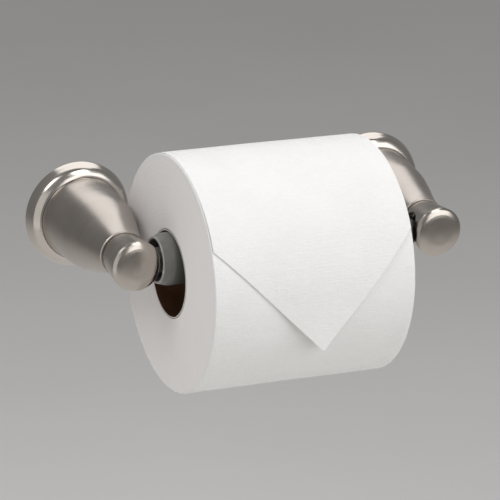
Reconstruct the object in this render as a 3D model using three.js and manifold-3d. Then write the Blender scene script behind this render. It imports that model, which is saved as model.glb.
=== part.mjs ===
// Wall-mounted toilet paper holder: two round posts on wall flanges, a spring-loaded
// telescoping roller between their hubs, and a paper roll hanging on the roller.
// Millimetres, +Z up. The wall is the plane y = 0 and the room is on the -Y side.
// X runs along the roller. The origin is on the wall, midway between the post axes.
import * as THREE from 'three';
import * as BufferGeometryUtils from 'three/addons/utils/BufferGeometryUtils.js';
import Module from 'manifold-3d';

const wasm = await Module();
wasm.setup();

// ---------------------------------------------------------------- driving dimensions
const POST_X = 78.8;            // post axis, either side of the middle
const GAP = 0.3;                // clearance left between neighbouring pieces

const FLANGE_R = 26.65;         // polished wall flange, radius at the wall
const FLANGE_EDGE_R = 25.1;     // where its side turns over onto the front
const FLANGE_EDGE_W = 5.3;
const FLANGE_H = 8.5;           // height of the flange off the wall
const SEAM_R = 20.95;           // foot of the post inside the flange
const FLANGE_BORE_R = 19.9;

const POST_END_W = 61.8;        // end face of the post
const POST_CAVITY_END_W = 54.5; // the post is hollow from the wall to here
const SET_SCREW_W = 11.5;

const HUB_BACK_W = 62.1;
const HUB_BACK_R = 10.45;
const HUB_RIM_W = 79.2;         // crease between the hub's side and its domed face
const HUB_RIM_R = 12.35;
const HUB_FACE_H = 3.15;        // rise of the domed face
const HUB_FLAT = 11.8;          // flat on the roller side, from the post axis
const SOCKET_R = 7.7;           // blind socket for the roller's pivot
const SOCKET_FLOOR = 5.5;       // its floor, from the post axis

const AXIS_W = 70.0;            // roller axis, off the wall
const ROLLER_Z = -1.5;          // the pivots rest low in their sockets
const PIVOT_R = 6.0;
const PIVOT_TIP_X = 71.5;
const TUBE_R = 12.7;            // larger half of the roller
const TUBE_BORE_R = 10.9;
const RIM_X = 65.9;
const RIM_R = 11.33;
const TUBE_END_X = 18;          // free end of the larger half
const SLEEVE_R = 10.5;          // smaller half, slides inside the larger one
const SLEEVE_BORE_R = 8.9;
const SLEEVE_START_X = -12;
const SLEEVE_END_X = 66.0;
const SLEEVE_NECK_R = 8.6;

const CORE_R = 20.65;           // cardboard core, inside
const CORE_T = 0.65;
const ROLL_R = 57.3;            // wound paper
const ROLL_L = 102.0;
const ROLL_X = -7.5;            // the roll has been slid towards the left post
const ROLL_Z = -9.16;           // it hangs on the roller
const TAIL_T = 0.25;            // folded end of the paper, on the outside of the roll
const TAIL_START = 150;         // where the modelled sheet begins, in degrees over the top from the front
const TAIL_LEAVES = 6;          // where it leaves the roll and hangs free, in degrees above the front
const TAIL_LEAN = 3.5;          // how far from plumb it then hangs, in degrees
const TAIL_TIP = [3.5, -23.75]; // tip of the fold: right of the roll's middle, and above its axis
const TAIL_LEFT = [[-24.0, 3.5], [-35.6, 14.8], [-50.8, 28.7], [-52, 29.7]];  // fold line to the roll's left end
const TAIL_RIGHT = [[27.1, 3.5], [37.0, 14.8], [50.4, 29.1], [52, 30.6]];

const ROUND = 32;               // facets round a post
const FINE = 60;                // facets round the roll
const SMALL = 12;               // facets round a screw

// ---------------------------------------------------------------- materials
const satinNickel = () => new THREE.MeshStandardMaterial({ color: 0x9a9189, roughness: 0.34, metalness: 1 });
const polishedNickel = () => new THREE.MeshStandardMaterial({ color: 0xb5aca4, roughness: 0.18, metalness: 1 });
const zincPlate = () => new THREE.MeshStandardMaterial({ color: 0x9fa3a6, roughness: 0.45, metalness: 1 });
const screwSteel = () => new THREE.MeshStandardMaterial({ color: 0xa6a6a2, roughness: 0.35, metalness: 1 });
const blackOxide = () => new THREE.MeshStandardMaterial({ color: 0x2b2a29, roughness: 0.45, metalness: 1 });
const nylon = () => new THREE.MeshStandardMaterial({ color: 0xd9d6cc, roughness: 0.6, metalness: 0 });
const greyPlastic = () => new THREE.MeshStandardMaterial({ color: 0x6f7270, roughness: 0.5, metalness: 0 });
const springSteel = () => new THREE.MeshStandardMaterial({ color: 0xb9b9b6, roughness: 0.3, metalness: 1 });
const cardboard = () => new THREE.MeshStandardMaterial({ color: 0x8a6a4c, roughness: 0.9, metalness: 0 });
const paper = () => new THREE.MeshStandardMaterial({ color: 0xf1efec, roughness: 0.95, metalness: 0 });

// ---------------------------------------------------------------- helpers
const v2 = (r, h) => new THREE.Vector2(r, h);

// signed area of a turned profile: positive when it runs round the section the way a lathe wants it
function sectionArea(profile) {
  let area = 0;
  for (let i = 0; i < profile.length; i++) {
    const [r0, h0] = profile[i];
    const [r1, h1] = profile[(i + 1) % profile.length];
    area += r0 * h1 - r1 * h0;
  }
  return area;
}

// a turned solid about +Y of its own frame, from [radius, height] pairs, put in place by a matrix
function turned(profile, segments, matrix) {
  const points = sectionArea(profile) < 0 ? [...profile].reverse() : profile;
  const g = new THREE.LatheGeometry(points.map(([r, h]) => v2(r, h)), segments);
  if (matrix) g.applyMatrix4(matrix);
  return g;
}

function toSolid(geometry) {
  let g = geometry.clone();
  g.deleteAttribute('normal');
  g.deleteAttribute('uv');
  g = BufferGeometryUtils.mergeVertices(g, 1e-4);
  const position = g.getAttribute('position');
  const index = g.getIndex();
  const triVerts = [];
  for (let i = 0; i < index.count; i += 3) {
    const [a, b, c] = [index.getX(i), index.getX(i + 1), index.getX(i + 2)];
    if (a !== b && b !== c && c !== a) triVerts.push(a, b, c);
  }
  const vertProperties = new Float32Array(position.count * 3);
  for (let i = 0; i < position.count; i++) {
    vertProperties[3 * i] = position.getX(i);
    vertProperties[3 * i + 1] = position.getY(i);
    vertProperties[3 * i + 2] = position.getZ(i);
  }
  const solid = new wasm.Manifold(new wasm.Mesh({ numProp: 3, vertProperties, triVerts: new Uint32Array(triVerts) }));
  if (solid.volume() >= 0) return solid;
  for (let i = 0; i < triVerts.length; i += 3) [triVerts[i + 1], triVerts[i + 2]] = [triVerts[i + 2], triVerts[i + 1]];
  return new wasm.Manifold(new wasm.Mesh({ numProp: 3, vertProperties, triVerts: new Uint32Array(triVerts) }));
}

function toGeometry(solid) {
  const mesh = solid.getMesh();
  const n = mesh.numProp;
  const count = mesh.vertProperties.length / n;
  const positions = new Float32Array(count * 3);
  for (let i = 0; i < count; i++) for (let k = 0; k < 3; k++) positions[3 * i + k] = mesh.vertProperties[n * i + k];
  const g = new THREE.BufferGeometry();
  g.setAttribute('position', new THREE.BufferAttribute(positions, 3));
  g.setIndex(new THREE.BufferAttribute(new Uint32Array(mesh.triVerts), 1));
  return g;
}

const cut = (body, ...tools) => {
  let s = toSolid(body);
  for (const t of tools) s = s.subtract(toSolid(t));
  return toGeometry(s);
};

// turned profiles stand on local +Y; these matrices point that axis along the world directions used here
const OUT = new THREE.Matrix4().makeRotationX(Math.PI);             // local +Y becomes world -Y (away from the wall)
const ALONG_X = new THREE.Matrix4().makeRotationZ(-Math.PI / 2);    // local +Y becomes world +X
const DOWN = new THREE.Matrix4().makeRotationX(-Math.PI / 2);       // local +Y becomes world -Z

const object = new THREE.Group();
function place(parent, name, geometry, material, x = 0, y = 0, z = 0) {
  const mesh = new THREE.Mesh(geometry, material);
  mesh.name = name;
  mesh.position.set(x, y, z);
  parent.add(mesh);
  return mesh;
}

// a smooth open curve through points, sampled evenly
function smooth(points, samples) {
  const curve = new THREE.SplineCurve(points.map(([r, h]) => v2(r, h)));
  return curve.getPoints(samples).map((p) => [p.x, p.y]);
}

// ---------------------------------------------------------------- one post, as seen from its own axis
// side is -1 on the left and +1 on the right; the roller is on the side towards -side
function buildPost(side, label) {
  const post = new THREE.Group();
  post.position.set(side * POST_X, 0, 0);
  object.add(post);

  // wall bracket: a flat plate with rounded ends, and a stub with a groove for the set screw
  const plateShape = new THREE.Shape();
  plateShape.absarc(0, 8, 11, 0, Math.PI, false);
  plateShape.absarc(0, -8, 11, Math.PI, 2 * Math.PI, false);
  plateShape.closePath();
  for (const z of [13.9, -13.9]) {
    const hole = new THREE.Path();
    hole.absarc(0, z, 2.3, 0, 2 * Math.PI, true);
    plateShape.holes.push(hole);
  }
  const plate = new THREE.ExtrudeGeometry(plateShape, { depth: 1.6, bevelEnabled: false, curveSegments: 12 });
  plate.rotateX(Math.PI / 2);   // shape plane becomes XZ, thickness runs away from the wall
  const stub = turned([[0, 1.2], [9, 1.2], [9, 10.0], [8.2, 10.9], [8.2, 12.1], [9, 13.0], [9, 14.2], [8.2, 15], [0, 15]], 20, OUT);
  place(post, `${label}_wall_bracket`, toGeometry(toSolid(plate).add(toSolid(stub))), zincPlate());

  // two wall screws through the plate, and the anchors they expand behind the wall's face
  const screwBody = turned([[0, -22], [1.0, -19.8], [1.9, -18], [1.9, 1.9], [3.6, 1.9], [3.6, 2.9], [3.1, 3.7], [2.0, 4.2], [0, 4.2]], SMALL, OUT);
  const cross = [
    new THREE.BoxGeometry(4.0, 2.4, 0.8).translate(0, -4.2, 0),
    new THREE.BoxGeometry(0.8, 2.4, 4.0).translate(0, -4.2, 0),
  ];
  const wallScrew = cut(screwBody, ...cross);
  const anchor = turned([
    [2.2, -0.3], [4.6, -0.3], [4.6, -1.1], [3.6, -1.5], [3.6, -5], [3.9, -6.5], [3.5, -7], [3.5, -10],
    [3.8, -11.5], [3.4, -12], [3.3, -18], [2.7, -20.5], [2.2, -20.5], [2.2, -0.3],
  ], 10, OUT);
  for (const [where, z] of [['upper', 13.9], ['lower', -13.9]]) {
    place(post, `${label}_${where}_wall_screw`, wallScrew.clone(), screwSteel(), 0, 0, z);
    place(post, `${label}_${where}_wall_anchor`, anchor.clone(), nylon(), 0, 0, z);
  }

  // polished flange: a ring with a steep side and a rounded front, counterbored for the post's foot
  const flangeProfile = [
    [FLANGE_BORE_R, 0], [FLANGE_R, 0], [FLANGE_R - 0.15, 1.0], [FLANGE_EDGE_R + 0.35, 4.3], [FLANGE_EDGE_R, FLANGE_EDGE_W],
    [24.6, 6.6], [23.8, 7.6], [22.9, 8.2], [SEAM_R + GAP, FLANGE_H], [SEAM_R + GAP, 5.0], [FLANGE_BORE_R, 5.0], [FLANGE_BORE_R, 0],
  ];
  place(post, `${label}_flange`, turned(flangeProfile, 40, OUT), polishedNickel());

  // post: a hollow bell-shaped casting, open to the wall
  const outside = smooth([
    [SEAM_R, 8.6], [20.3, 11.2], [20.0, 14], [19.8, 20], [19.5, 26], [18.7, 32], [17.2, 38], [15.5, 44],
    [13.75, 50], [12.2, 56], [11.5, 60.8],
  ], 12);
  const postProfile = [
    [18.9, 5.3], [SEAM_R, 5.3], ...outside, [11.15, 61.65], [10.85, POST_END_W], [5.3, POST_END_W], [5.3, 58.2], [2.6, 58.2],
    [2.6, POST_CAVITY_END_W], [8.4, POST_CAVITY_END_W], [9.6, 52], [12.9, 44], [16.2, 32], [17.7, 20], [18.3, 9], [18.9, 5.3],
  ];
  const setHole = new THREE.CylinderGeometry(2.15, 2.15, 12, SMALL).rotateX(Math.PI / 2).translate(0, -SET_SCREW_W, -20);
  place(post, `${label}_post`, cut(turned(postProfile, ROUND, OUT), setHole), satinNickel());

  // set screw under the post, its point in the bracket's groove and a hexagon socket at its outer end
  const setBody = turned([[0, 8.6], [0.9, 8.6], [1.85, 9.8], [1.85, 19.9], [1.6, 20.2], [0, 20.2]], SMALL, DOWN);
  const hexagon = new THREE.CylinderGeometry(1.1, 1.1, 4, 6).rotateX(Math.PI / 2).translate(0, 0, -20.2);
  place(post, `${label}_set_screw`, cut(setBody, hexagon), blackOxide(), 0, -SET_SCREW_W, 0);

  // hub: a short barrel with a crease at its domed face, a spigot at its back and a socket on the roller side
  const hubProfile = [
    [0, 58.5], [5.0, 58.5], [5.0, HUB_BACK_W], [HUB_BACK_R - 0.25, HUB_BACK_W], [HUB_BACK_R, HUB_BACK_W + 0.25],
    [10.8, 65.0], [11.1, 67.5], [11.7, 73.0], [HUB_RIM_R, HUB_RIM_W], [12.1, HUB_RIM_W + 0.55], [11.5, HUB_RIM_W + 1.2],
    [10.6, HUB_RIM_W + 1.8], [9.4, HUB_RIM_W + 2.25], [8.0, HUB_RIM_W + 2.6], [6.0, HUB_RIM_W + 2.88], [3.0, HUB_RIM_W + 3.08], [0, HUB_RIM_W + HUB_FACE_H],
  ];
  const flatCut = new THREE.BoxGeometry(10, 30, 40).translate(-side * (HUB_FLAT + 5), -AXIS_W, 0);
  const socket = new THREE.CylinderGeometry(SOCKET_R, SOCKET_R, 20, 20).rotateZ(Math.PI / 2)
    .translate(-side * (SOCKET_FLOOR + 10), -AXIS_W, 0);
  const tapped = new THREE.CylinderGeometry(2.2, 2.2, 12, SMALL).translate(0, -62.6, 0);
  place(post, `${label}_hub`, cut(turned(hubProfile, ROUND, OUT), flatCut, socket, tapped), polishedNickel());

  // machine screw from inside the post into the hub
  const hubScrew = turned([[0, 51.8], [2.2, 51.8], [3.2, 52.3], [3.6, 53.1], [3.6, 54.2], [1.9, 54.2], [1.9, 67.4], [1.4, 68], [0, 68]], SMALL, OUT);
  const slot = new THREE.BoxGeometry(5.0, 2.2, 0.9).translate(0, -51.8, 0);
  place(post, `${label}_hub_screw`, cut(hubScrew, slot), screwSteel());
}
buildPost(-1, 'left');
buildPost(1, 'right');

// ---------------------------------------------------------------- roller
const roller = new THREE.Group();
roller.position.set(0, -AXIS_W, ROLLER_Z);
object.add(roller);

// larger half: a tube whose left end draws in to a rim round a deep recess
place(roller, 'roller_outer_tube', turned([
  [TUBE_BORE_R, -60.2], [10.2, -61.6], [9.95, -63], [9.95, -RIM_X + 0.3], [10.25, -RIM_X], [RIM_R - 0.3, -RIM_X], [RIM_R, -RIM_X + 0.3],
  [11.75, -64.2], [12.3, -62.6], [TUBE_R, -60.4], [TUBE_R, TUBE_END_X - 0.5], [TUBE_R - 0.5, TUBE_END_X],
  [TUBE_BORE_R, TUBE_END_X], [TUBE_BORE_R, -60.2],
], ROUND, ALONG_X), greyPlastic());

// plug inside the larger half, carrying the left pivot
place(roller, 'roller_left_pivot', turned([
  [0, -PIVOT_TIP_X], [3.4, -PIVOT_TIP_X + 0.15], [5.0, -PIVOT_TIP_X + 0.7], [5.75, -PIVOT_TIP_X + 1.6], [PIVOT_R, -PIVOT_TIP_X + 2.8],
  [PIVOT_R, -59.2], [TUBE_BORE_R - GAP, -59.2], [TUBE_BORE_R - GAP, -56.2], [0, -56.2],
], 20, ALONG_X), greyPlastic());

// smaller half: a sleeve that slides in the larger one, closed by a spring seat, with a drawn-in neck at the right
place(roller, 'roller_inner_tube', turned([
  [1.5, SLEEVE_START_X], [SLEEVE_R - 0.5, SLEEVE_START_X], [SLEEVE_R, SLEEVE_START_X + 0.5], [SLEEVE_R, 57.5], [10.2, 58.8], [9.3, 60.2],
  [SLEEVE_NECK_R, 61.6], [SLEEVE_NECK_R, SLEEVE_END_X - 0.3], [SLEEVE_NECK_R - 0.3, SLEEVE_END_X], [7.4, SLEEVE_END_X], [7.4, 60.4],
  [SLEEVE_BORE_R, 57.6], [SLEEVE_BORE_R, SLEEVE_START_X + 2], [1.5, SLEEVE_START_X + 2], [1.5, SLEEVE_START_X],
], ROUND, ALONG_X), greyPlastic());

// plug in the neck, carrying the right pivot
place(roller, 'roller_right_pivot', turned([
  [0, 60.9], [7.4 - GAP, 60.9], [7.4 - GAP, 63.6], [PIVOT_R, 63.6], [PIVOT_R, PIVOT_TIP_X - 2.8], [5.75, PIVOT_TIP_X - 1.6],
  [5.0, PIVOT_TIP_X - 0.7], [3.4, PIVOT_TIP_X - 0.15], [0, PIVOT_TIP_X],
], 20, ALONG_X), greyPlastic());

// compression spring between the left plug and the sleeve's seat
class Helix extends THREE.Curve {
  constructor(radius, start, end, turns) {
    super();
    Object.assign(this, { radius, start, end, turns });
  }
  getPoint(t, target = new THREE.Vector3()) {
    const a = 2 * Math.PI * this.turns * t;
    return target.set(this.start + (this.end - this.start) * t, this.radius * Math.cos(a), this.radius * Math.sin(a));
  }
}
const wire = new THREE.Shape();
wire.absarc(0, 0, 0.6, 0, 2 * Math.PI, false);
place(roller, 'roller_spring', new THREE.ExtrudeGeometry(wire, {
  extrudePath: new Helix(7.4, -55.0, -13.0, 8), steps: 88, curveSegments: 3, bevelEnabled: false,
}), springSteel());

// ---------------------------------------------------------------- paper roll
const roll = new THREE.Group();
roll.position.set(ROLL_X, -AXIS_W, ROLL_Z);
object.add(roll);
const half = ROLL_L / 2;

place(roll, 'paper_core', turned([
  [CORE_R, -half], [CORE_R + CORE_T, -half], [CORE_R + CORE_T, half], [CORE_R, half], [CORE_R, -half],
], FINE, ALONG_X), cardboard());

place(roll, 'paper_roll', turned([
  [CORE_R + CORE_T + GAP, -half], [ROLL_R - 0.5, -half], [ROLL_R, -half + 0.6], [ROLL_R, half - 0.6], [ROLL_R - 0.5, half],
  [CORE_R + CORE_T + GAP, half], [CORE_R + CORE_T + GAP, -half],
], FINE, ALONG_X), paper());

// the free end of the paper: the last sheet comes over the roll, leaves it at the front and hangs, and its
// two corners are folded under to a point
const degrees = (d) => d * Math.PI / 180;
function sheetLine(r) {
  const line = [];
  for (let d = TAIL_START; d >= TAIL_LEAVES; d -= 6) line.push([-r * Math.cos(degrees(d)), r * Math.sin(degrees(d))]);
  const [y, z] = line[line.length - 1];
  line.push([y - 32 * Math.sin(degrees(TAIL_LEAN)), z - 32 * Math.cos(degrees(TAIL_LEAN))]);
  return line;
}
const section = new THREE.Shape();
const sectionPoints = [...sheetLine(ROLL_R + GAP), ...sheetLine(ROLL_R + GAP + TAIL_T).reverse()];
section.moveTo(...sectionPoints[0]);
for (const p of sectionPoints.slice(1)) section.lineTo(...p);
section.closePath();
const sheet = new THREE.ExtrudeGeometry(section, { depth: ROLL_L - 1.2, bevelEnabled: false });
sheet.applyMatrix4(new THREE.Matrix4().set(0, 0, 1, -half + 0.6, 1, 0, 0, 0, 0, 1, 0, 0, 0, 0, 0, 1));   // section plane becomes YZ
const pennant = new THREE.Shape();
pennant.moveTo(-half - 1, 70);
for (const p of [...TAIL_LEFT].reverse()) pennant.lineTo(...p);
pennant.lineTo(...TAIL_TIP);
for (const p of TAIL_RIGHT) pennant.lineTo(...p);
pennant.lineTo(half + 1, 70);
pennant.closePath();
const window = new THREE.ExtrudeGeometry(pennant, { depth: 140, bevelEnabled: false });
window.rotateX(Math.PI / 2);   // shape plane becomes XZ, depth runs towards -Y
window.translate(0, 70, 0);
place(roll, 'paper_tail', toGeometry(toSolid(sheet).intersect(toSolid(window))), paper());

export default object;
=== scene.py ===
import math
import random

import bmesh
import bpy
import numpy as np
from mathutils import Matrix, Vector


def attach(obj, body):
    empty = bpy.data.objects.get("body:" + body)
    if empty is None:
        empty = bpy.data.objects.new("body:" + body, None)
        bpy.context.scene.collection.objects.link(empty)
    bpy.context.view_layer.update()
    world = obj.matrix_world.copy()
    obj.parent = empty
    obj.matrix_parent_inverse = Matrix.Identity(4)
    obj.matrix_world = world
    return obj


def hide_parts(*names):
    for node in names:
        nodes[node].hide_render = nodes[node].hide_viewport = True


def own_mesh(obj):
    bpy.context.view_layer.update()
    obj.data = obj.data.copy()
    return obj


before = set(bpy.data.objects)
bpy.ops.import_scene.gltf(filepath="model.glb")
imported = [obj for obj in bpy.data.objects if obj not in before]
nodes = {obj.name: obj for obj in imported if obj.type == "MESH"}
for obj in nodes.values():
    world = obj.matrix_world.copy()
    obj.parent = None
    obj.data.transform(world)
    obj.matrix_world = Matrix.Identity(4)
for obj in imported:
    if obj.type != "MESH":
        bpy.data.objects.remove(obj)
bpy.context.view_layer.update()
MM = 0.001

# ------------------------------------------------------------------ places, in mm, as in the CAD
POST_X = 78.8
AXIS_W = 70.0
ROLLER_Z = -1.5
ROLL_X = -7.5
ROLL_Z = -9.16
ROLL_R = 57.3
ROLL_HALF = 51.0


# ------------------------------------------------------------------ camera
def make_camera():
    az, el, roll = math.radians(24.265), math.radians(19.7801), math.radians(2.1752)
    d = Vector((math.sin(az) * math.cos(el), math.cos(az) * math.cos(el), -math.sin(el)))
    r = Vector((math.cos(az), -math.sin(az), 0))
    u = r.cross(d)
    right = math.cos(roll) * r + math.sin(roll) * u
    up = -math.sin(roll) * r + math.cos(roll) * u
    data = bpy.data.cameras.new("camera")
    data.sensor_width = 36.0
    data.lens = 3208.1194 * 36.0 / 500.0
    data.clip_start, data.clip_end = 0.05, 60
    cam = bpy.data.objects.new("camera", data)
    bpy.context.scene.collection.objects.link(cam)
    m = Matrix((right, up, -d)).transposed().to_4x4()
    m.translation = Vector((-0.6094949, -1.3848741, 0.5167778))
    cam.matrix_world = m
    bpy.context.scene.camera = cam
    return cam


camera = make_camera()


# ------------------------------------------------------------------ mesh helpers
def rounded(profile, closed=True, n=5):
    """A profile of (radius, height, fillet) with its corners rounded, and a short support length beside each."""
    pts = [(p[0], p[1], p[2] if len(p) > 2 else 0.0) for p in profile]
    count, out = len(pts), []
    for i, (r, h, f) in enumerate(pts):
        p = np.array([r, h], float)
        if not closed and i in (0, count - 1):
            out.append(p)
            continue
        a = np.array(pts[i - 1][:2], float) - p
        b = np.array(pts[(i + 1) % count][:2], float) - p
        la, lb = np.linalg.norm(a), np.linalg.norm(b)
        if la < 1e-9 or lb < 1e-9:
            continue
        a, b = a / la, b / lb
        phi = math.acos(max(-1.0, min(1.0, float(a @ b))))
        if f <= 0 or phi > math.pi - 0.03:
            out.append(p)
            continue
        t = f / math.tan(phi / 2)
        limit = 0.40 * min(la, lb)
        if t > limit:
            f, t = f * limit / t, limit
        bis = (a + b) / np.linalg.norm(a + b)
        c = p + bis * (f / math.sin(phi / 2))
        v0, v1 = p + a * t - c, p + b * t - c
        a0 = math.atan2(v0[1], v0[0])
        turn = (math.atan2(v1[1], v1[0]) - a0 + math.pi) % (2 * math.pi) - math.pi
        sa, sb = min(0.12, 0.2 * (la - t)), min(0.12, 0.2 * (lb - t))
        out.append(p + a * (t + sa))
        for k in range(n + 1):
            g = a0 + turn * k / n
            out.append(c + f * np.array([math.cos(g), math.sin(g)]))
        out.append(p + b * (t + sb))
    return [(float(q[0]), float(q[1])) for q in out]


def spline(points, samples):
    """Uniform Catmull-Rom through the points, the same curve as the CAD's."""
    out, n = [], len(points)
    for k in range(samples + 1):
        t = (n - 1) * k / samples
        i = min(int(t), n - 2)
        w = t - i
        p = [points[max(i - 1, 0)], points[i], points[i + 1], points[min(i + 2, n - 1)]]
        q = []
        for c in (0, 1):
            v0, v1 = (p[2][c] - p[0][c]) / 2, (p[3][c] - p[1][c]) / 2
            q.append((2 * p[1][c] - 2 * p[2][c] + v0 + v1) * w ** 3
                     + (-3 * p[1][c] + 3 * p[2][c] - 2 * v0 - v1) * w * w + v0 * w + p[1][c])
        out.append(tuple(q))
    return out


def out_of_wall(r, h, a):
    return (r * math.cos(a), -h, r * math.sin(a))


def along_x(r, h, a):
    return (h, r * math.cos(a), r * math.sin(a))


def downwards(r, h, a):
    return (r * math.cos(a), r * math.sin(a), -h)


def new_object(name, bm, location):
    mesh = bpy.data.meshes.new(name)
    bmesh.ops.recalc_face_normals(bm, faces=bm.faces)
    bm.to_mesh(mesh)
    bm.free()
    obj = bpy.data.objects.new(name, mesh)
    bpy.context.scene.collection.objects.link(obj)
    obj.location = Vector(location) * MM
    bpy.context.view_layer.update()
    return obj


def shade(obj, angle=35.0):
    bm = bmesh.new()
    bm.from_mesh(obj.data)
    limit = math.radians(angle)
    for e in bm.edges:
        e.smooth = len(e.link_faces) == 2 and e.calc_face_angle(0.0) < limit
    for f in bm.faces:
        f.smooth = True
    bm.to_mesh(obj.data)
    bm.free()
    return obj


def lathe(name, profile, direction, segments, location, closed=True, radius=None):
    """Turns a profile. radius(r, h, angle) may change the radius from point to point, as for a thread."""
    bm = bmesh.new()
    rings = []
    for r, h in profile:
        if r < 1e-6:
            rings.append([bm.verts.new(Vector(direction(0, h, 0)) * MM)])
        else:
            ring = []
            for k in range(segments):
                a = 2 * math.pi * k / segments
                rr = radius(r, h, a) if radius else r
                ring.append(bm.verts.new(Vector(direction(rr, h, a)) * MM))
            rings.append(ring)
    pairs = list(zip(rings, rings[1:]))
    if closed:
        pairs.append((rings[-1], rings[0]))
    for p, q in pairs:
        if len(p) == 1 and len(q) == 1:
            continue
        for k in range(segments):
            j = (k + 1) % segments
            if len(p) == 1:
                bm.faces.new((p[0], q[k], q[j]))
            elif len(q) == 1:
                bm.faces.new((p[k], q[0], p[j]))
            else:
                bm.faces.new((p[k], q[k], q[j], p[j]))
    return new_object(name, bm, location)


def block(size, centre, taper=1.0, axis=1):
    """A cutter: a box, narrowed at its far end along the axis."""
    bm = bmesh.new()
    bmesh.ops.create_cube(bm, size=1.0)
    for v in bm.verts:
        t = taper if v.co[axis] > 0 else 1.0
        for c in range(3):
            v.co[c] = v.co[c] * size[c] * (1.0 if c == axis else t)
        v.co = (v.co + Vector(centre)) * MM
    return new_object("cutter", bm, (0, 0, 0))


def carve(obj, cutters, operation="DIFFERENCE"):
    for c in cutters:
        m = obj.modifiers.new("carve", "BOOLEAN")
        m.operation, m.object, m.solver = operation, c, "EXACT"
    bpy.context.view_layer.update()
    dg = bpy.context.evaluated_depsgraph_get()
    mesh = bpy.data.meshes.new_from_object(obj.evaluated_get(dg))
    obj.modifiers.clear()
    obj.data = mesh
    for c in cutters:
        bpy.data.objects.remove(c)
    bm = bmesh.new()
    bm.from_mesh(obj.data)
    bmesh.ops.remove_doubles(bm, verts=bm.verts, dist=1e-7)
    bmesh.ops.dissolve_degenerate(bm, edges=bm.edges, dist=1e-8)
    bmesh.ops.recalc_face_normals(bm, faces=bm.faces)
    bm.to_mesh(obj.data)
    bm.free()
    return obj


def even_normals(obj):
    m = obj.modifiers.new("normals", "WEIGHTED_NORMAL")
    m.keep_sharp = True
    m.mode = "FACE_AREA"
    return obj


def finish_piece(obj, body, material, replaced, angle=35.0):
    shade(obj, angle)
    which = [f.material_index for f in obj.data.polygons]
    obj.data.materials.clear()
    for m in (material if isinstance(material, (list, tuple)) else [material]):
        obj.data.materials.append(m)
    if len(obj.data.materials) > 1:
        obj.data.polygons.foreach_set("material_index", which)
    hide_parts(*([replaced] if isinstance(replaced, str) else replaced))
    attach(obj, body)
    return obj


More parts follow.
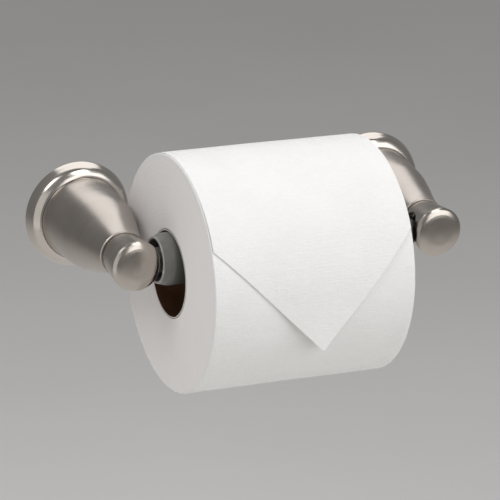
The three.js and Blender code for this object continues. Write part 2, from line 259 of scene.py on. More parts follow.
# ------------------------------------------------------------------ material helpers
class Nodes:
    def __init__(self, name):
        self.material = bpy.data.materials.new(name)
        self.material.use_nodes = True
        self.tree = self.material.node_tree
        self.tree.nodes.clear()
        self.out = self.tree.nodes.new("ShaderNodeOutputMaterial")
        self.shader = self.tree.nodes.new("ShaderNodeBsdfPrincipled")
        self.link(self.shader.outputs[0], self.out.inputs[0])
        self.coords = self.tree.nodes.new("ShaderNodeTexCoord")

    def link(self, a, b):
        self.tree.links.new(a, b)

    def set(self, **values):
        for k, v in values.items():
            self.shader.inputs[k.replace("_", " ")].default_value = v

    def mapped(self, scale, location=(0, 0, 0), rotation=(0, 0, 0), source=None):
        m = self.tree.nodes.new("ShaderNodeMapping")
        m.inputs["Scale"].default_value = scale
        m.inputs["Location"].default_value = location
        m.inputs["Rotation"].default_value = rotation
        self.link(source or self.coords.outputs["Object"], m.inputs["Vector"])
        return m.outputs[0]

    def noise(self, vector, scale=1.0, detail=4.0, rough=0.55, distortion=0.0):
        n = self.tree.nodes.new("ShaderNodeTexNoise")
        n.inputs["Scale"].default_value = scale
        n.inputs["Detail"].default_value = detail
        n.inputs["Roughness"].default_value = rough
        n.inputs["Distortion"].default_value = distortion
        self.link(vector, n.inputs["Vector"])
        return n.outputs["Fac"]

    def cells(self, vector, scale=1.0, feature="F1", randomness=1.0):
        n = self.tree.nodes.new("ShaderNodeTexVoronoi")
        n.feature = feature
        n.inputs["Scale"].default_value = scale
        n.inputs["Randomness"].default_value = randomness
        self.link(vector, n.inputs["Vector"])
        return n.outputs["Distance"]

    def math(self, op, a, b=None, c=None, clamp=False):
        n = self.tree.nodes.new("ShaderNodeMath")
        n.operation = op
        n.use_clamp = clamp
        for i, v in enumerate((a, b, c)):
            if v is None:
                continue
            if isinstance(v, (int, float)):
                n.inputs[i].default_value = v
            else:
                self.link(v, n.inputs[i])
        return n.outputs[0]

    def ramp(self, fac, stops):
        n = self.tree.nodes.new("ShaderNodeValToRGB")
        e = n.color_ramp.elements
        while len(e) < len(stops):
            e.new(0.5)
        for i, (pos, col) in enumerate(stops):
            e[i].position = pos
            e[i].color = (*col, 1.0)
        self.link(fac, n.inputs[0])
        return n.outputs[0]

    def spread(self, fac, lo, hi, out_lo, out_hi):
        n = self.tree.nodes.new("ShaderNodeMapRange")
        for k, v in zip(("From Min", "From Max", "To Min", "To Max"), (lo, hi, out_lo, out_hi)):
            n.inputs[k].default_value = v
        self.link(fac, n.inputs["Value"])
        return n.outputs[0]

    def mix(self, fac, a, b, mode="MIX"):
        n = self.tree.nodes.new("ShaderNodeMix")
        n.data_type = "RGBA"
        n.blend_type = mode
        for name, v in (("Factor", fac), ("A", a), ("B", b)):
            sockets = [s for s in n.inputs if s.name == name]
            s = sockets[0] if name == "Factor" else [q for q in sockets if q.type == "RGBA"][0]
            if isinstance(v, (int, float)):
                s.default_value = v
            elif isinstance(v, tuple):
                s.default_value = (*v, 1.0)
            else:
                self.link(v, s)
        return [o for o in n.outputs if o.type == "RGBA"][0]

    def bump(self, height, strength, distance, normal=None):
        n = self.tree.nodes.new("ShaderNodeBump")
        n.inputs["Strength"].default_value = strength
        n.inputs["Distance"].default_value = distance
        self.link(height, n.inputs["Height"])
        if normal is not None:
            self.link(normal, n.inputs["Normal"])
        return n.outputs[0]

    def edges(self):
        g = self.tree.nodes.new("ShaderNodeNewGeometry")
        return g.outputs["Pointiness"]

    def axial_radius(self, axes):
        """Distance from the object's own axis: axes are the two coordinates across it."""
        s = self.tree.nodes.new("ShaderNodeSeparateXYZ")
        self.link(self.coords.outputs["Object"], s.inputs[0])
        a, b = s.outputs[axes[0]], s.outputs[axes[1]]
        return self.math("SQRT", self.math("ADD", self.math("MULTIPLY", a, a), self.math("MULTIPLY", b, b)))

    def colour(self, socket):
        self.link(socket, self.shader.inputs["Base Color"])

    def roughness(self, socket):
        self.link(socket, self.shader.inputs["Roughness"])

    def normal(self, socket):
        self.link(socket, self.shader.inputs["Normal"])


def nickel(name, dark, light, rough, spread, brush, brush_height, aniso):
    """Nickel plate, brushed round the turning axis, which is the object's own Y."""
    n = Nodes(name)
    n.set(Metallic=1.0, Anisotropic=aniso)
    tangent = n.tree.nodes.new("ShaderNodeTangent")
    tangent.direction_type = "RADIAL"
    tangent.axis = "Y"
    if aniso > 0:
        n.link(tangent.outputs[0], n.shader.inputs["Tangent"])
    rings = n.noise(n.mapped((14, brush, 14)), 1.0, 5.0, 0.7)
    fine = n.noise(n.mapped((60, brush * 2.7, 60)), 1.0, 3.0, 0.6)
    cloud = n.noise(n.mapped((55, 55, 55)), 1.0, 3.0, 0.5)
    tone = n.math("ADD", n.math("MULTIPLY", rings, 0.6), n.math("MULTIPLY", cloud, 0.4))
    base = n.ramp(tone, [(0.30, dark), (0.70, light)])
    edge_lightening = n.spread(n.edges(), 0.52, 0.60, 0.0, 0.25)
    n.colour(n.mix(edge_lightening, base, tuple(min(1.0, c * 1.18) for c in light)))
    r = n.math("ADD", n.spread(rings, 0.3, 0.7, rough - spread, rough + spread), n.spread(cloud, 0.3, 0.7, -0.02, 0.03))
    n.roughness(r)
    n.normal(n.bump(n.math("ADD", rings, n.math("MULTIPLY", fine, 0.5)), 1.0, brush_height))
    return n.material


def plated(name, dark, light, rough, metallic=1.0, scale=400, bump=4e-6):
    n = Nodes(name)
    n.set(Metallic=metallic)
    cloud = n.noise(n.mapped((scale, scale, scale)), 1.0, 5.0, 0.6)
    spots = n.cells(n.mapped((scale * 2.2,) * 3), 1.0)
    base = n.ramp(n.math("ADD", n.math("MULTIPLY", cloud, 0.7), n.math("MULTIPLY", spots, 0.3)), [(0.28, dark), (0.62, light)])
    edge_lightening = n.spread(n.edges(), 0.52, 0.62, 0.0, 0.5)
    n.colour(n.mix(edge_lightening, base, tuple(min(1.0, c * 1.35 + 0.03) for c in light)))
    n.roughness(n.spread(cloud, 0.3, 0.7, rough - 0.06, rough + 0.08))
    n.normal(n.bump(n.math("ADD", cloud, spots), 1.0, bump))
    return n.material


def plastic(name, dark, light, rough, grain=1800, bump=1.2e-5, painted_depth_shade=None):
    n = Nodes(name)
    n.set(IOR=1.5)
    cloud = n.noise(n.mapped((120, 120, 120)), 1.0, 4.0, 0.5)
    speck = n.noise(n.mapped((grain, grain, grain)), 1.0, 3.0, 0.6)
    base = n.ramp(cloud, [(0.32, dark), (0.68, light)])
    # lighter colour on sharp edges: edge wear, and on the grey roller also a painted highlight along the lip's chamfer
    edge_lightening = n.spread(n.edges(), 0.52, 0.60, 0.0, 0.6)
    # painted shade: the colour darkens along +X across the given span of object x, with a noisy edge. The grey roller
    # gives -60 to -52.5 mm, so its run inside the paper core is shaded in its colour, and so are the small half and the
    # right plug, which lie wholly past it
    if painted_depth_shade:
        s = n.tree.nodes.new("ShaderNodeSeparateXYZ")
        n.link(n.coords.outputs["Object"], s.inputs[0])
        along = n.math("ADD", s.outputs[0], n.math("MULTIPLY", cloud, 0.0016))
        base = n.mix(n.spread(along, painted_depth_shade[0], painted_depth_shade[1], 0.0, 0.86), base, tuple(c * 0.14 for c in dark))
    n.colour(n.mix(edge_lightening, base, tuple(min(1.0, c * 2.0 + 0.08) for c in light)))
    n.roughness(n.spread(speck, 0.3, 0.7, rough - 0.07, rough + 0.08))
    n.normal(n.bump(speck, 1.0, bump))
    return n.material


def tissue(name):
    """Soft creped and lightly embossed tissue. The crepe runs along the roll's axis, which is X."""
    n = Nodes(name)
    n.set(Specular_IOR_Level=0.12, Sheen_Weight=0.15, Sheen_Roughness=0.6)
    crepe = n.noise(n.mapped((260, 1500, 1500)), 1.0, 4.0, 0.65)
    fibre = n.noise(n.mapped((900, 2600, 2600), rotation=(0.5, 0.2, 0.4)), 1.0, 3.0, 0.6)
    dimple = n.cells(n.mapped((620, 620, 620)), 1.0, "SMOOTH_F1", 0.35)
    cloud = n.noise(n.mapped((38, 38, 38)), 1.0, 3.0, 0.5)
    tone = n.math("ADD", n.math("MULTIPLY", crepe, 0.5), n.math("MULTIPLY", cloud, 0.5))
    n.colour(n.ramp(tone, [(0.30, (0.845, 0.838, 0.822)), (0.70, (0.905, 0.900, 0.888))]))
    n.roughness(n.spread(fibre, 0.3, 0.7, 0.90, 1.0))
    height = n.math("ADD", n.math("ADD", crepe, n.math("MULTIPLY", fibre, 0.5)), n.math("MULTIPLY", dimple, 0.8))
    n.normal(n.bump(height, 1.0, 2.0e-4))
    return n.material


def tissue_edges(name):
    """The cut ends of the wound layers: fine rings about the roll's axis."""
    n = Nodes(name)
    n.set(Specular_IOR_Level=0.08)
    r = n.axial_radius((1, 2))
    combine = n.tree.nodes.new("ShaderNodeCombineXYZ")
    n.link(n.math("MULTIPLY", r, 2600), combine.inputs[0])
    rings = n.noise(combine.outputs[0], 1.0, 3.0, 0.7)
    lint = n.noise(n.mapped((1700, 1700, 1700)), 1.0, 4.0, 0.7)
    cloud = n.noise(n.mapped((60, 60, 60)), 1.0, 3.0, 0.5)
    tone = n.math("ADD", n.math("MULTIPLY", rings, 0.55), n.math("ADD", n.math("MULTIPLY", lint, 0.25), n.math("MULTIPLY", cloud, 0.2)))
    n.colour(n.ramp(tone, [(0.30, (0.850, 0.822, 0.806)), (0.68, (0.905, 0.880, 0.866))]))
    n.roughness(n.spread(lint, 0.3, 0.7, 0.92, 1.0))
    n.normal(n.bump(n.math("ADD", rings, n.math("MULTIPLY", lint, 0.8)), 1.0, 3e-5))
    return n.material


def board_cut(name):
    """Cut end of the core: pale fibres with a darker line between the plies."""
    n = Nodes(name)
    n.set(Specular_IOR_Level=0.1)
    r = n.axial_radius((1, 2))
    ply = n.spread(n.math("ABSOLUTE", n.math("SUBTRACT", r, 0.02098)), 0.00002, 0.00010, 0.0, 1.0)
    lint = n.noise(n.mapped((2200, 2200, 2200)), 1.0, 4.0, 0.7)
    base = n.ramp(lint, [(0.30, (0.66, 0.62, 0.57)), (0.70, (0.80, 0.77, 0.73))])
    n.colour(n.mix(ply, (0.52, 0.45, 0.38), base))
    n.roughness(n.spread(lint, 0.3, 0.7, 0.88, 1.0))
    n.normal(n.bump(lint, 1.0, 5e-5))
    return n.material


def board(name):
    """Spiral wound brown board."""
    n = Nodes(name)
    n.set(Specular_IOR_Level=0.25)
    fibre = n.noise(n.mapped((260, 1400, 1400), rotation=(0, 0, 0.6)), 1.0, 5.0, 0.7)
    speck = n.noise(n.mapped((2400, 2400, 2400)), 1.0, 2.0, 0.5)
    cloud = n.noise(n.mapped((70, 70, 70)), 1.0, 3.0, 0.5)
    tone = n.math("ADD", n.math("MULTIPLY", fibre, 0.6), n.math("MULTIPLY", cloud, 0.4))
    # painted shade: these browns are about half a plain board's brightness, so the core's bore stays dark
    base = n.ramp(tone, [(0.28, (0.085, 0.036, 0.018)), (0.55, (0.135, 0.062, 0.032)), (0.75, (0.185, 0.095, 0.052))])
    n.colour(n.mix(n.spread(speck, 0.62, 0.72, 0.0, 0.35), base, (0.06, 0.026, 0.013)))
    n.roughness(n.spread(fibre, 0.3, 0.7, 0.82, 0.95))
    n.normal(n.bump(n.math("ADD", fibre, speck), 1.0, 4e-5))
    return n.material


SATIN = nickel("satin_nickel", (0.400, 0.362, 0.328), (0.500, 0.458, 0.420), 0.30, 0.04, 3600, 6e-6, 0.35)
POLISHED = nickel("polished_nickel", (0.520, 0.478, 0.435), (0.600, 0.555, 0.510), 0.20, 0.03, 2600, 1.5e-6, 0.2)
HUB = nickel("hub_nickel", (0.430, 0.392, 0.352), (0.520, 0.478, 0.435), 0.22, 0.03, 3000, 1.5e-6, 0.15)
ZINC = plated("zinc_plate", (0.40, 0.42, 0.44), (0.58, 0.60, 0.61), 0.38)
SCREW = plated("screw_steel", (0.46, 0.45, 0.42), (0.64, 0.63, 0.60), 0.30, scale=900)
BLACK = plated("black_oxide", (0.022, 0.021, 0.020), (0.05, 0.048, 0.046), 0.42, scale=1200)
WIRE = plated("spring_steel", (0.42, 0.42, 0.41), (0.56, 0.56, 0.55), 0.27, scale=1500)
# a lighter copy of the grey roller plastic: painted highlight along the roller's rim
GREY_RIM_HIGHLIGHT = plastic("grey_plastic_painted_rim_highlight", (0.30, 0.295, 0.285), (0.40, 0.395, 0.38), 0.30)
NYLON = plastic("nylon", (0.60, 0.575, 0.50), (0.74, 0.715, 0.65), 0.48)
# painted shade: this grey darkens from x = -60 mm inwards, where the roller runs inside the paper core
GREY = plastic("grey_plastic", (0.150, 0.148, 0.138), (0.190, 0.187, 0.175), 0.40, painted_depth_shade=(-0.0600, -0.0525))
PAPER = tissue("tissue")
PAPER_EDGE = tissue_edges("tissue_edges")
BOARD = board("core_board")
BOARD_CUT = board_cut("core_board_cut")


# ------------------------------------------------------------------ posts
def thread(low, high, pitch, crest, depth, hand=1):
    """radius() for a screw: a helical ridge between two heights."""
    def f(r, h, a):
        if h < low or h > high:
            return r
        fade = min(1.0, (h - low) / (0.6 * pitch), (high - h) / (0.6 * pitch))
        t = (h / pitch - hand * a / (2 * math.pi)) % 1.0
        ridge = max(0.0, 1.0 - abs(t - 0.5) / 0.34)
        return r - depth * (1.0 - ridge) * fade if r > crest - 0.02 else r
    return f


def steps(a, b, pitch, per=9):
    n = max(2, int(round((b - a) / pitch * per)))
    return [a + (b - a) * k / n for k in range(n + 1)]


def build_post(side, label):
    x = side * POST_X
    inward = -side
    place = (x, 0, 0)

    shoulder = spline([(26.5, 1.0), (26.18, 2.1), (25.8, 3.2), (25.45, 4.3), (25.05, 5.3), (24.5, 6.2), (23.7, 7.0), (22.9, 7.65), (22.0, 8.2), (21.1, 8.5)], 45)
    flange = lathe(f"{label}_flange_ring", rounded(
        [(19.9, 0, 0.25), (26.65, 0, 0.3)] + shoulder[:-1] + [(21.1, 8.5, 0.10), (21.1, 5.0), (19.9, 5.0, 0.2)]), out_of_wall, 192, place)
    finish_piece(flange, "posts", POLISHED, f"{label}_flange", 50)

    outside = spline([
        (20.95, 8.6), (20.62, 11.2), (20.3, 14.5), (19.95, 20), (19.5, 26), (18.7, 32), (17.2, 38), (15.5, 44), (13.75, 50), (12.2, 56),
        (11.5, 60.8),
    ], 60)
    body = rounded(
        [(18.9, 5.3, 0.1), (20.95, 5.3, 0.1)] + outside + [
            (11.42, 61.35, 0.25), (11.05, 61.8, 0.2), (5.3, 61.8, 0.1), (5.3, 58.2), (2.6, 58.2), (2.6, 54.5, 0.1), (8.4, 54.5, 0.8), (9.6, 52),
            (12.9, 44), (16.2, 32), (17.7, 20), (18.3, 9),
        ])
    post = lathe(f"{label}_post_body", body, out_of_wall, 160, place)
    hole = lathe("cutter", [(0, 14), (2.15, 14), (2.15, 20.15), (2.5, 20.7), (2.5, 24), (0, 24)], downwards, 40, (x, -11.5, 0), closed=False)
    carve(post, [hole])
    even_normals(post)
    finish_piece(post, "posts", SATIN, f"{label}_post", 38)

    hub = lathe(f"{label}_hub_body", rounded([
        (0, 58.5), (5.0, 58.5, 0.2), (5.0, 62.1), (10.2, 62.1, 0.1), (10.43, 62.35, 0.15), (10.75, 64.8), (11.05, 67.3), (11.4, 70.4), (11.75, 73.6),
        (12.05, 76.4), (12.36, 79.2, 0.28), (12.1, 79.75, 0.3), (11.5, 80.4, 0.9), (10.6, 81.0, 1.5), (9.4, 81.45, 3.0), (8.0, 81.8, 4.0),
        (6.0, 82.08, 6.0), (3.0, 82.28), (0, 82.35),
    ], closed=False), out_of_wall, 192, place, closed=False)
    flat = block((6, 30, 40), (x + inward * (11.8 + 3), -AXIS_W, 0))
    socket = lathe("cutter", [(0, 5.5), (7.3, 5.5), (7.7, 5.9), (7.7, 11.35), (8.1, 11.8), (8.1, 20), (0, 20)],
                   lambda r, h, a: (inward * h, r * math.cos(a), r * math.sin(a)), 64, (x, -AXIS_W, 0), closed=False)
    tapped = lathe("cutter", [(0, 56.6), (2.2, 56.6), (2.2, 68.4), (0, 69.4)], out_of_wall, 32, place, closed=False)
    carve(hub, [flat, socket, tapped])
    even_normals(hub)
    finish_piece(hub, "posts", HUB, f"{label}_hub", 32)

    # bracket: plate with rounded ends and a grooved stub
    bm = bmesh.new()
    loop = []
    for k in range(33):
        a = math.pi * k / 32
        loop.append((11 * math.cos(a), 8 + 11 * math.sin(a)))
    for k in range(33):
        a = math.pi + math.pi * k / 32
        loop.append((11 * math.cos(a), -8 + 11 * math.sin(a)))
    levels = [(0, 0.25), (0.25, 0.0), (1.35, 0.0), (1.6, 0.25)]
    rings = []
    for w, inset in levels:
        s = 1 - inset / 11
        rings.append([bm.verts.new(Vector((p * s, -w, (q - math.copysign(8, q)) * s + math.copysign(8, q))) * MM) for p, q in loop])
    for p, q in zip(rings, rings[1:]):
        for k in range(len(loop)):
            j = (k + 1) % len(loop)
            bm.faces.new((p[k], p[j], q[j], q[k]))
    bm.faces.new(rings[0])
    bm.faces.new(rings[-1])
    bracket = new_object(f"{label}_bracket", bm, place)
    stub = lathe("cutter", rounded([(0, 0.8), (9, 0.8), (9, 10.0, 0.2), (8.2, 10.9, 0.1), (8.2, 12.1, 0.1), (9, 13.0, 0.2), (9, 14.2, 0.2), (8.2, 15, 0.2), (0, 15)],
                                   closed=False), out_of_wall, 72, place, closed=False)
    carve(bracket, [stub], "UNION")
    holes = [lathe("cutter", [(0, -1), (2.6, -1), (2.6, 0), (2.3, 0.3), (2.3, 1.3), (2.6, 1.6), (2.6, 3), (0, 3)], out_of_wall, 32, (x, 0, z), closed=False)
             for z in (13.9, -13.9)]
    carve(bracket, holes)
    finish_piece(bracket, "posts", ZINC, f"{label}_wall_bracket", 30)

    for where, z in (("upper", 13.9), ("lower", -13.9)):
        spot = (x, 0, z)
        shaft = [(1.9, h) for h in steps(-18.0, 0.9, 1.7)]
        prof = [(0, -22), (0.45, -21.4), (1.15, -19.6), (1.87, -18.2)] + shaft + [(1.42, 1.2), (1.42, 1.9)] + rounded(
            [(1.42, 1.9), (3.6, 1.9, 0.15), (3.6, 2.9, 0.5), (3.1, 3.7, 0.6), (2.0, 4.2, 0.5), (0, 4.2)], closed=False)[1:]
        screw = lathe(f"{label}_{where}_screw", prof, out_of_wall, 30, spot, closed=False, radius=thread(-18.1, 0.95, 1.7, 1.9, 0.62))
        cross = [block((3.9, 2.2, 0.75), (x, -4.3, z), 0.45), block((0.75, 2.2, 3.9), (x, -4.3, z), 0.45)]
        carve(screw, cross)
        finish_piece(screw, "posts", SCREW, f"{label}_{where}_wall_screw", 42)

        ribs = []
        for k in range(5):
            h = -3.2 - 2.7 * k
            ribs += [(3.45, h), (4.0, h - 0.25), (4.0, h - 0.7), (3.4, h - 1.5)]
        prof = rounded([(2.2, -0.3, 0.1), (4.6, -0.3, 0.1), (4.6, -1.1, 0.15), (3.55, -1.5, 0.2)], closed=False)[0:] + ribs + [
            (3.25, -18.2), (2.75, -20.0), (2.6, -20.5), (2.2, -20.5)]
        anchor = lathe(f"{label}_{where}_plug", prof, out_of_wall, 48, spot)
        slots = [block((12, 11, 0.9), (x, 16.5, z)), block((0.9, 11, 12), (x, 16.5, z))]
        carve(anchor, slots)
        finish_piece(anchor, "posts", NYLON, f"{label}_{where}_wall_anchor", 40)

    prof = [(0, 8.6), (0.75, 8.6), (1.35, 9.35), (1.84, 9.85)] + [(1.85, h) for h in steps(9.9, 19.7, 0.7)] + [(1.6, 20.05), (1.45, 20.2), (0, 20.2)]
    grub = lathe(f"{label}_grub_screw", prof, downwards, 36, (x, -11.5, 0), closed=False, radius=thread(9.9, 19.7, 0.7, 1.85, 0.3))
    bm = bmesh.new()
    bmesh.ops.create_cone(bm, segments=6, radius1=1.1 * MM, radius2=1.1 * MM, depth=4 * MM, cap_ends=True)
    carve(grub, [new_object("cutter", bm, (x, -11.5, -20.2))])
    finish_piece(grub, "posts", BLACK, f"{label}_set_screw", 42)

    prof = rounded([(0, 51.8), (2.2, 51.8, 0.5), (3.2, 52.3, 0.5), (3.6, 53.1, 0.3), (3.6, 54.2, 0.1), (1.9, 54.2)], closed=False) + [
        (1.9, h) for h in steps(54.6, 67.2, 0.8)] + [(1.5, 67.7), (1.3, 68), (0, 68)]
    bolt = lathe(f"{label}_hub_bolt", prof, out_of_wall, 32, place, closed=False, radius=thread(54.7, 67.1, 0.8, 1.9, 0.3))
    carve(bolt, [block((5.6, 2.2, 0.9), (x, -51.8, 0))])
    finish_piece(bolt, "posts", SCREW, f"{label}_hub_screw", 42)


build_post(-1, "left")
build_post(1, "right")

# ------------------------------------------------------------------ roller
RP = (0, -AXIS_W, ROLLER_Z)

outer = lathe("roller_large_half", rounded([
    (10.9, -60.2, 0.3), (10.2, -61.6, 0.6), (9.95, -63.0, 0.5), (9.95, -65.55, 0.15), (10.3, -65.9, 0.25), (11.05, -65.9, 0.3), (11.33, -65.5, 0.3),
    (11.75, -64.2, 1.5), (12.3, -62.6, 2.0), (12.7, -60.4, 1.5), (12.7, 17.5, 0.3), (12.2, 18, 0.2), (10.9, 18, 0.2),
]), along_x, 128, RP)
# the rim's end and chamfer faces take the lighter copy: a painted highlight on the lip
for face in outer.data.polygons:
    face.material_index = 1 if face.center.x < -0.06535 and math.hypot(face.center.y, face.center.z) > 0.0100 else 0
finish_piece(outer, "roller_outer", [GREY, GREY_RIM_HIGHLIGHT], "roller_outer_tube", 45)

left_pivot = lathe("roller_left_plug", rounded([
    (0, -71.5), (3.4, -71.35, 2.0), (5.0, -70.8, 1.5), (5.75, -69.9, 1.2), (6.0, -68.7, 1.5), (6.0, -59.2, 0.4), (10.6, -59.2, 0.25), (10.6, -56.2, 0.25), (0, -56.2),
], closed=False), along_x, 80, RP, closed=False)
finish_piece(left_pivot, "roller_outer", GREY, "roller_left_pivot", 45)

inner = lathe("roller_small_half", rounded([
    (1.5, -12), (10.0, -12, 0.1), (10.5, -11.5, 0.3), (10.5, 57.5, 2.0), (10.2, 58.8, 1.2), (9.3, 60.2, 1.2), (8.6, 61.6, 1.2), (8.6, 65.7, 0.15),
    (8.3, 66.0, 0.15), (7.4, 66.0, 0.1), (7.4, 60.4, 0.5), (8.9, 57.6, 1.0), (8.9, -10, 0.2), (1.5, -10),
]), along_x, 128, RP)
finish_piece(inner, "roller_inner", GREY, "roller_inner_tube", 45)

right_pivot = lathe("roller_right_plug", rounded([
    (0, 60.9), (7.1, 60.9, 0.2), (7.1, 63.6, 0.4), (6.0, 63.6, 0.3), (6.0, 68.7, 1.5), (5.75, 69.9, 1.2), (5.0, 70.8, 1.5), (3.4, 71.35, 2.0), (0, 71.5),
], closed=False), along_x, 80, RP, closed=False)
finish_piece(right_pivot, "roller_inner", GREY, "roller_right_pivot", 45)


def coil():
    """Compression spring: eight turns, with its end turns closed down."""
    bm = bmesh.new()
    turns, per, sides, wire, radius = 8.0, 40, 14, 0.6, 7.4
    n = int(turns * per)
    rings = []
    x0, x1 = -55.0 + 0.0, -13.0
    for k in range(n + 1):
        t = k / n
        a = 2 * math.pi * turns * t
        u = turns * t
        lead = min(u, 1.0) * 1.25 + max(0.0, min(u, turns - 1) - 1.0) * ((x1 - x0 - 2.5) / (turns - 2)) + max(0.0, u - (turns - 1)) * 1.25
        c = Vector((x0 + lead, radius * math.cos(a), radius * math.sin(a)))
        outward = Vector((0, math.cos(a), math.sin(a)))
        ring = []
        for j in range(sides):
            b = 2 * math.pi * j / sides
            ring.append(bm.verts.new((c + wire * (math.cos(b) * outward + math.sin(b) * Vector((1, 0, 0)))) * MM))
        rings.append(ring)
    for p, q in zip(rings, rings[1:]):
        for j in range(sides):
            i = (j + 1) % sides
            bm.faces.new((p[j], p[i], q[i], q[j]))
    bm.faces.new(rings[0])
    bm.faces.new(rings[-1])
    return new_object("roller_coil_spring", bm, RP)


spring = finish_piece(coil(), "roller_outer", WIRE, "roller_spring", 60)
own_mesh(spring)

# ------------------------------------------------------------------ paper roll
PP = (ROLL_X, -AXIS_W, ROLL_Z)
rng = random.Random(11)


def swell(x, a):
    """Slow unevenness of the wound roll, in mm: about a tenth of a millimetre."""
    return (0.10 * math.sin(2 * a + 0.7) * math.cos(x / 41.0 + 0.4) + 0.06 * math.sin(3 * a - 1.1 + x / 23.0)
            + 0.05 * math.cos(5 * a + x / 17.0) + 0.03 * math.sin(x / 6.3 + 2.0 * math.sin(a)))


def build_roll():
    """Wound paper: the end of every few layers stands a little further out or in."""
    inner_r, layers, around = 21.6, 64, 200
    pitch = (ROLL_R - 0.9 - inner_r) / layers
    ends = []
    for side in (-1, 1):
        off = [0.015 * (rng.random() - 0.5) * 2 for _ in range(layers + 1)]
        ph = [rng.random() * 6.28 for _ in range(layers + 1)]
        prof = []
        for k in range(layers + 1):
            r = inner_r + pitch * k
            for edge in (0.0, 0.62):
                if k == layers and edge:
                    continue
                prof.append((r + pitch * edge, ROLL_HALF - 0.05 + (off[k] if edge == 0.0 else off[k] - 0.012), ph[k]))
        prof[0] = (inner_r, ROLL_HALF - 0.05, 0.0)
        ends.append([(r, side * h, p) for r, h, p in prof])
    left, right = ends
    corner = 0.75
    arc = [(ROLL_R - corner + corner * math.sin(g), ROLL_HALF - corner + corner * math.cos(g)) for g in [math.pi / 2 * k / 5 for k in range(6)]]
    path = [(r, h, p) for r, h, p in left]
    path += [(r, -h, None) for r, h in arc]
    path += [(ROLL_R, -ROLL_HALF + corner + (2 * ROLL_HALF - 2 * corner) * k / 40, None) for k in range(1, 40)]
    path += [(r, h, None) for r, h in reversed(arc)]
    path += [(r, h, p) for r, h, p in reversed(right)]
    path += [(inner_r, ROLL_HALF - 1 - (2 * ROLL_HALF - 2) * k / 6, None) for k in range(7)]
    bm = bmesh.new()
    rings = []
    for r, h, p in path:
        ring = []
        for k in range(around):
            a = 2 * math.pi * k / around
            rr, hh = r, h
            if p is not None:
                hh = h + math.copysign(0.012 * math.sin(2 * a + p) + 0.008 * math.sin(5 * a + 2 * p), -h)
                rr = r + (0.05 * math.sin(3 * a + p) if r > 22 else 0)
            elif r > 50:
                rr = r + swell(h, a) * max(0.0, min(1.0, (r - ROLL_R + corner) / corner))
            ring.append(bm.verts.new(Vector((hh, rr * math.cos(a), rr * math.sin(a))) * MM))
        rings.append(ring)
    n = len(rings)
    for i in range(n):
        p, q = rings[i], rings[(i + 1) % n]
        ra, rb = path[i], path[(i + 1) % n]
        end = (ra[2] is not None and rb[2] is not None) or max(ra[0], rb[0]) < 50
        for k in range(around):
            j = (k + 1) % around
            f = bm.faces.new((p[k], q[k], q[j], p[j]))
            f.material_index = 1 if end else 0
    return new_object("paper_wound_roll", bm, PP)


roll = finish_piece(build_roll(), "paper_roll", [PAPER, PAPER_EDGE], "paper_roll", 60)


def build_core():
    """Cardboard tube with the step of its spiral seam on the inside."""
    bm = bmesh.new()
    around, along, r_in, r_out = 144, 96, 20.65, 21.3
    half = ROLL_HALF - 0.02
    lead = 62.0

    def step(x, a):
        t = ((x / lead) - a / (2 * math.pi)) % 1.0
        return 0.16 * math.exp(-((t - 0.5) / 0.018) ** 2)

    inside, outside = [], []
    for k in range(along + 1):
        x = -half + 2 * half * k / along
        inside.append([bm.verts.new(Vector((x, (r_in + step(x, a)) * math.cos(a), (r_in + step(x, a)) * math.sin(a))) * MM)
                       for a in [2 * math.pi * j / around for j in range(around)]])
        outside.append([bm.verts.new(Vector((x, r_out * math.cos(a), r_out * math.sin(a))) * MM) for a in [2 * math.pi * j / around for j in range(around)]])
    for grid in (inside, outside):
        for p, q in zip(grid, grid[1:]):
            for j in range(around):
                i = (j + 1) % around
                bm.faces.new((p[j], p[i], q[i], q[j]))
    for k in (0, along):
        for j in range(around):
            i = (j + 1) % around
            f = bm.faces.new((inside[k][j], inside[k][i], outside[k][i], outside[k][j]))
            f.material_index = 1
    return new_object("paper_core_tube", bm, PP)


finish_piece(build_core(), "paper_roll", [BOARD, BOARD_CUT], "paper_core", 50)


# free end of the paper: the last sheet comes over the top and down the front, its two corners folded under to a point
def smoothstep(a, b, v):
    t = max(0.0, min(1.0, (v - a) / (b - a)))
    return t * t * (3 - 2 * t)


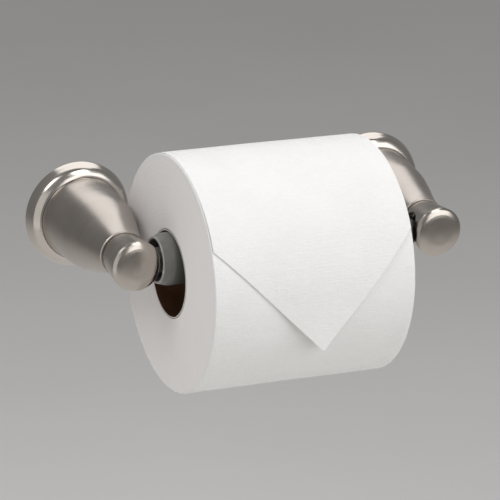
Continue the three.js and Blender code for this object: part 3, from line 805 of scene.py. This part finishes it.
def build_tail():
    """Flat sheet, folded along two lines, then wrapped over the roll down to where it leaves and hangs."""
    base = ROLL_R + 0.55
    half = 50.35
    leaves = math.radians(3.5) * base
    start = math.radians(150) * base
    tip = (3.5, -23.75)
    left_edge = (-half, (half - 20.50) / 1.009)
    right_edge = (half, (half - 24.08) / 0.864)
    rho = 0.26
    bm = bmesh.new()
    nx, ns = 64, 120
    grid = [[bm.verts.new(Vector((-half + 2 * half * i / nx, tip[1] + (start - tip[1]) * j / ns, 0))) for i in range(nx + 1)] for j in range(ns + 1)]
    for j in range(ns):
        for i in range(nx):
            bm.faces.new((grid[j][i], grid[j][i + 1], grid[j + 1][i + 1], grid[j + 1][i]))
    folds = []
    for edge in (left_edge, right_edge):
        d = Vector((edge[0] - tip[0], edge[1] - tip[1], 0)).normalized()
        n = Vector((-d.y, d.x, 0)) if edge[0] < 0 else Vector((d.y, -d.x, 0))
        if n.y > 0:
            n = -n
        folds.append((d, n))
        for k in range(-1, 8):
            off = math.pi * rho * k / 7 if k >= 0 else -0.35
            co = Vector((tip[0], tip[1], 0)) + n * off
            geom = bm.verts[:] + bm.edges[:] + bm.faces[:]
            bmesh.ops.bisect_plane(bm, geom=geom, plane_co=co, plane_no=n, dist=1e-6)
    bmesh.ops.triangulate(bm, faces=[f for f in bm.faces if len(f.verts) > 4])
    origin = Vector((tip[0], tip[1], 0))
    lean = math.radians(3.5)
    for v in bm.verts:
        p = v.co.copy()
        drop, under = 0.0, 0.0
        for which, (d, n) in enumerate(folds):
            q = p - origin
            dist = q.dot(n)
            if dist > 1e-9 and (q.x < 0) == (which == 0):
                along = q.dot(d)
                if dist < math.pi * rho:
                    lateral, drop = rho * math.sin(dist / rho), -rho * (1 - math.cos(dist / rho))
                else:
                    lateral, drop = -(dist - math.pi * rho), -2 * rho
                p = origin + d * along + n * lateral
                under = -smoothstep(1.0, 9.0, dist) * (0.02 if which == 0 else 0.16)
                break
        x, s = p.x, p.y
        a = s / base
        deg = math.degrees(a)
        # lies close on the roll over the top; looser towards the front, where the two folded corners are under it
        height = 0.20 - 0.10 * smoothstep(95, 145, deg) + 0.72 * (1 - smoothstep(30, 70, deg))
        near_end = smoothstep(half - 12, half, abs(x)) * (1 - smoothstep(26, 40, deg)) * -0.12
        loose = 0.10 * math.sin(x / 13.0 + 0.6) * math.sin(s / 19.0 + 0.3) * (1 - smoothstep(30, 60, deg))
        height += 0.35 * smoothstep(4, 26, x) * (1 - smoothstep(30, 60, deg))
        out = height + near_end + loose + drop + under
        if s >= leaves:
            r = ROLL_R + swell(x, a) + out
            y, z = -r * math.cos(a), r * math.sin(a)
        else:
            r = ROLL_R + swell(x, leaves / base) + out
            run = leaves - s
            al = leaves / base
            y = -r * math.cos(al) - run * math.sin(lean)
            z = r * math.sin(al) - run * math.cos(lean)
        # the front is -Y: angle 0 points there, 90 degrees is the top
        v.co = Vector((x, y, z)) * MM
    mesh = bpy.data.meshes.new("paper_free_end")
    bm.to_mesh(mesh)
    bm.free()
    obj = bpy.data.objects.new("paper_free_end", mesh)
    bpy.context.scene.collection.objects.link(obj)
    obj.location = Vector(PP) * MM
    m = obj.modifiers.new("thickness", "SOLIDIFY")
    m.thickness = 0.00011
    m.offset = 0.0
    bpy.context.view_layer.update()
    return obj, 2 * half * MM, (start - tip[1]) * MM


# the wound roll's angle starts at +Y, and the tail's at -Y: swell() is given the same place for both
_swell = swell


def swell(x, a):
    return _swell(x, math.pi - a)


tail, tail_w, tail_l = build_tail()
finish_piece(tail, "paper_roll", PAPER, "paper_tail", 70)


# ------------------------------------------------------------------ floor, light
def stage_floor():
    bm = bmesh.new()
    bmesh.ops.create_grid(bm, x_segments=1, y_segments=1, size=9.0)
    mesh = bpy.data.meshes.new("floor")
    bm.to_mesh(mesh)
    bm.free()
    floor = bpy.data.objects.new("floor", mesh)
    bpy.context.scene.collection.objects.link(floor)
    floor.location = (0, 0, -0.80)
    n = Nodes("floor")
    cloud = n.noise(n.mapped((3, 3, 3)), 1.0, 3.0, 0.5)
    n.colour(n.ramp(cloud, [(0.3, (0.90, 0.885, 0.865)), (0.7, (0.93, 0.915, 0.895))]))
    n.set(Roughness=0.9, Specular_IOR_Level=0.1)
    floor.data.materials.append(n.material)
    return floor


stage_floor()


def softbox(name, direction, distance, size, radiance, colour=(1, 1, 1)):
    """A large soft light seen from the object in a given direction, aimed at the object."""
    data = bpy.data.lights.new(name, "AREA")
    data.shape = "RECTANGLE"
    data.size, data.size_y = size
    data.energy = radiance * math.pi * size[0] * size[1]
    data.color = colour
    light = bpy.data.objects.new(name, data)
    bpy.context.scene.collection.objects.link(light)
    target = Vector((0, -0.05, 0))
    light.location = target + Vector(direction).normalized() * distance
    light.rotation_mode = "QUATERNION"
    light.rotation_quaternion = (target - light.location).to_track_quat("-Z", "Y")
    return light


softbox("key", (0.437, -0.757, 0.485), 1.7, (2.1, 1.2), 1.9)
softbox("overhead", (0.24, -0.42, 0.87), 1.7, (0.75, 0.65), 4.2)
softbox("upper left", (-0.64, -0.12, 0.76), 1.6, (0.8, 0.8), 3.5)
softbox("back", (0.20, 0.62, 0.76), 1.6, (1.5, 1.2), 1.45)
softbox("left", (-0.86, -0.46, -0.04), 1.6, (1.7, 2.0), 0.55)

world = bpy.data.worlds.new("studio")
bpy.context.scene.world = world
world.use_nodes = True
bg = world.node_tree.nodes.get("Background")
bg.inputs[0].default_value = (1.0, 1.0, 1.0, 1)
bg.inputs[1].default_value = 0.23
bpy.context.scene.view_settings.view_transform = "Standard"
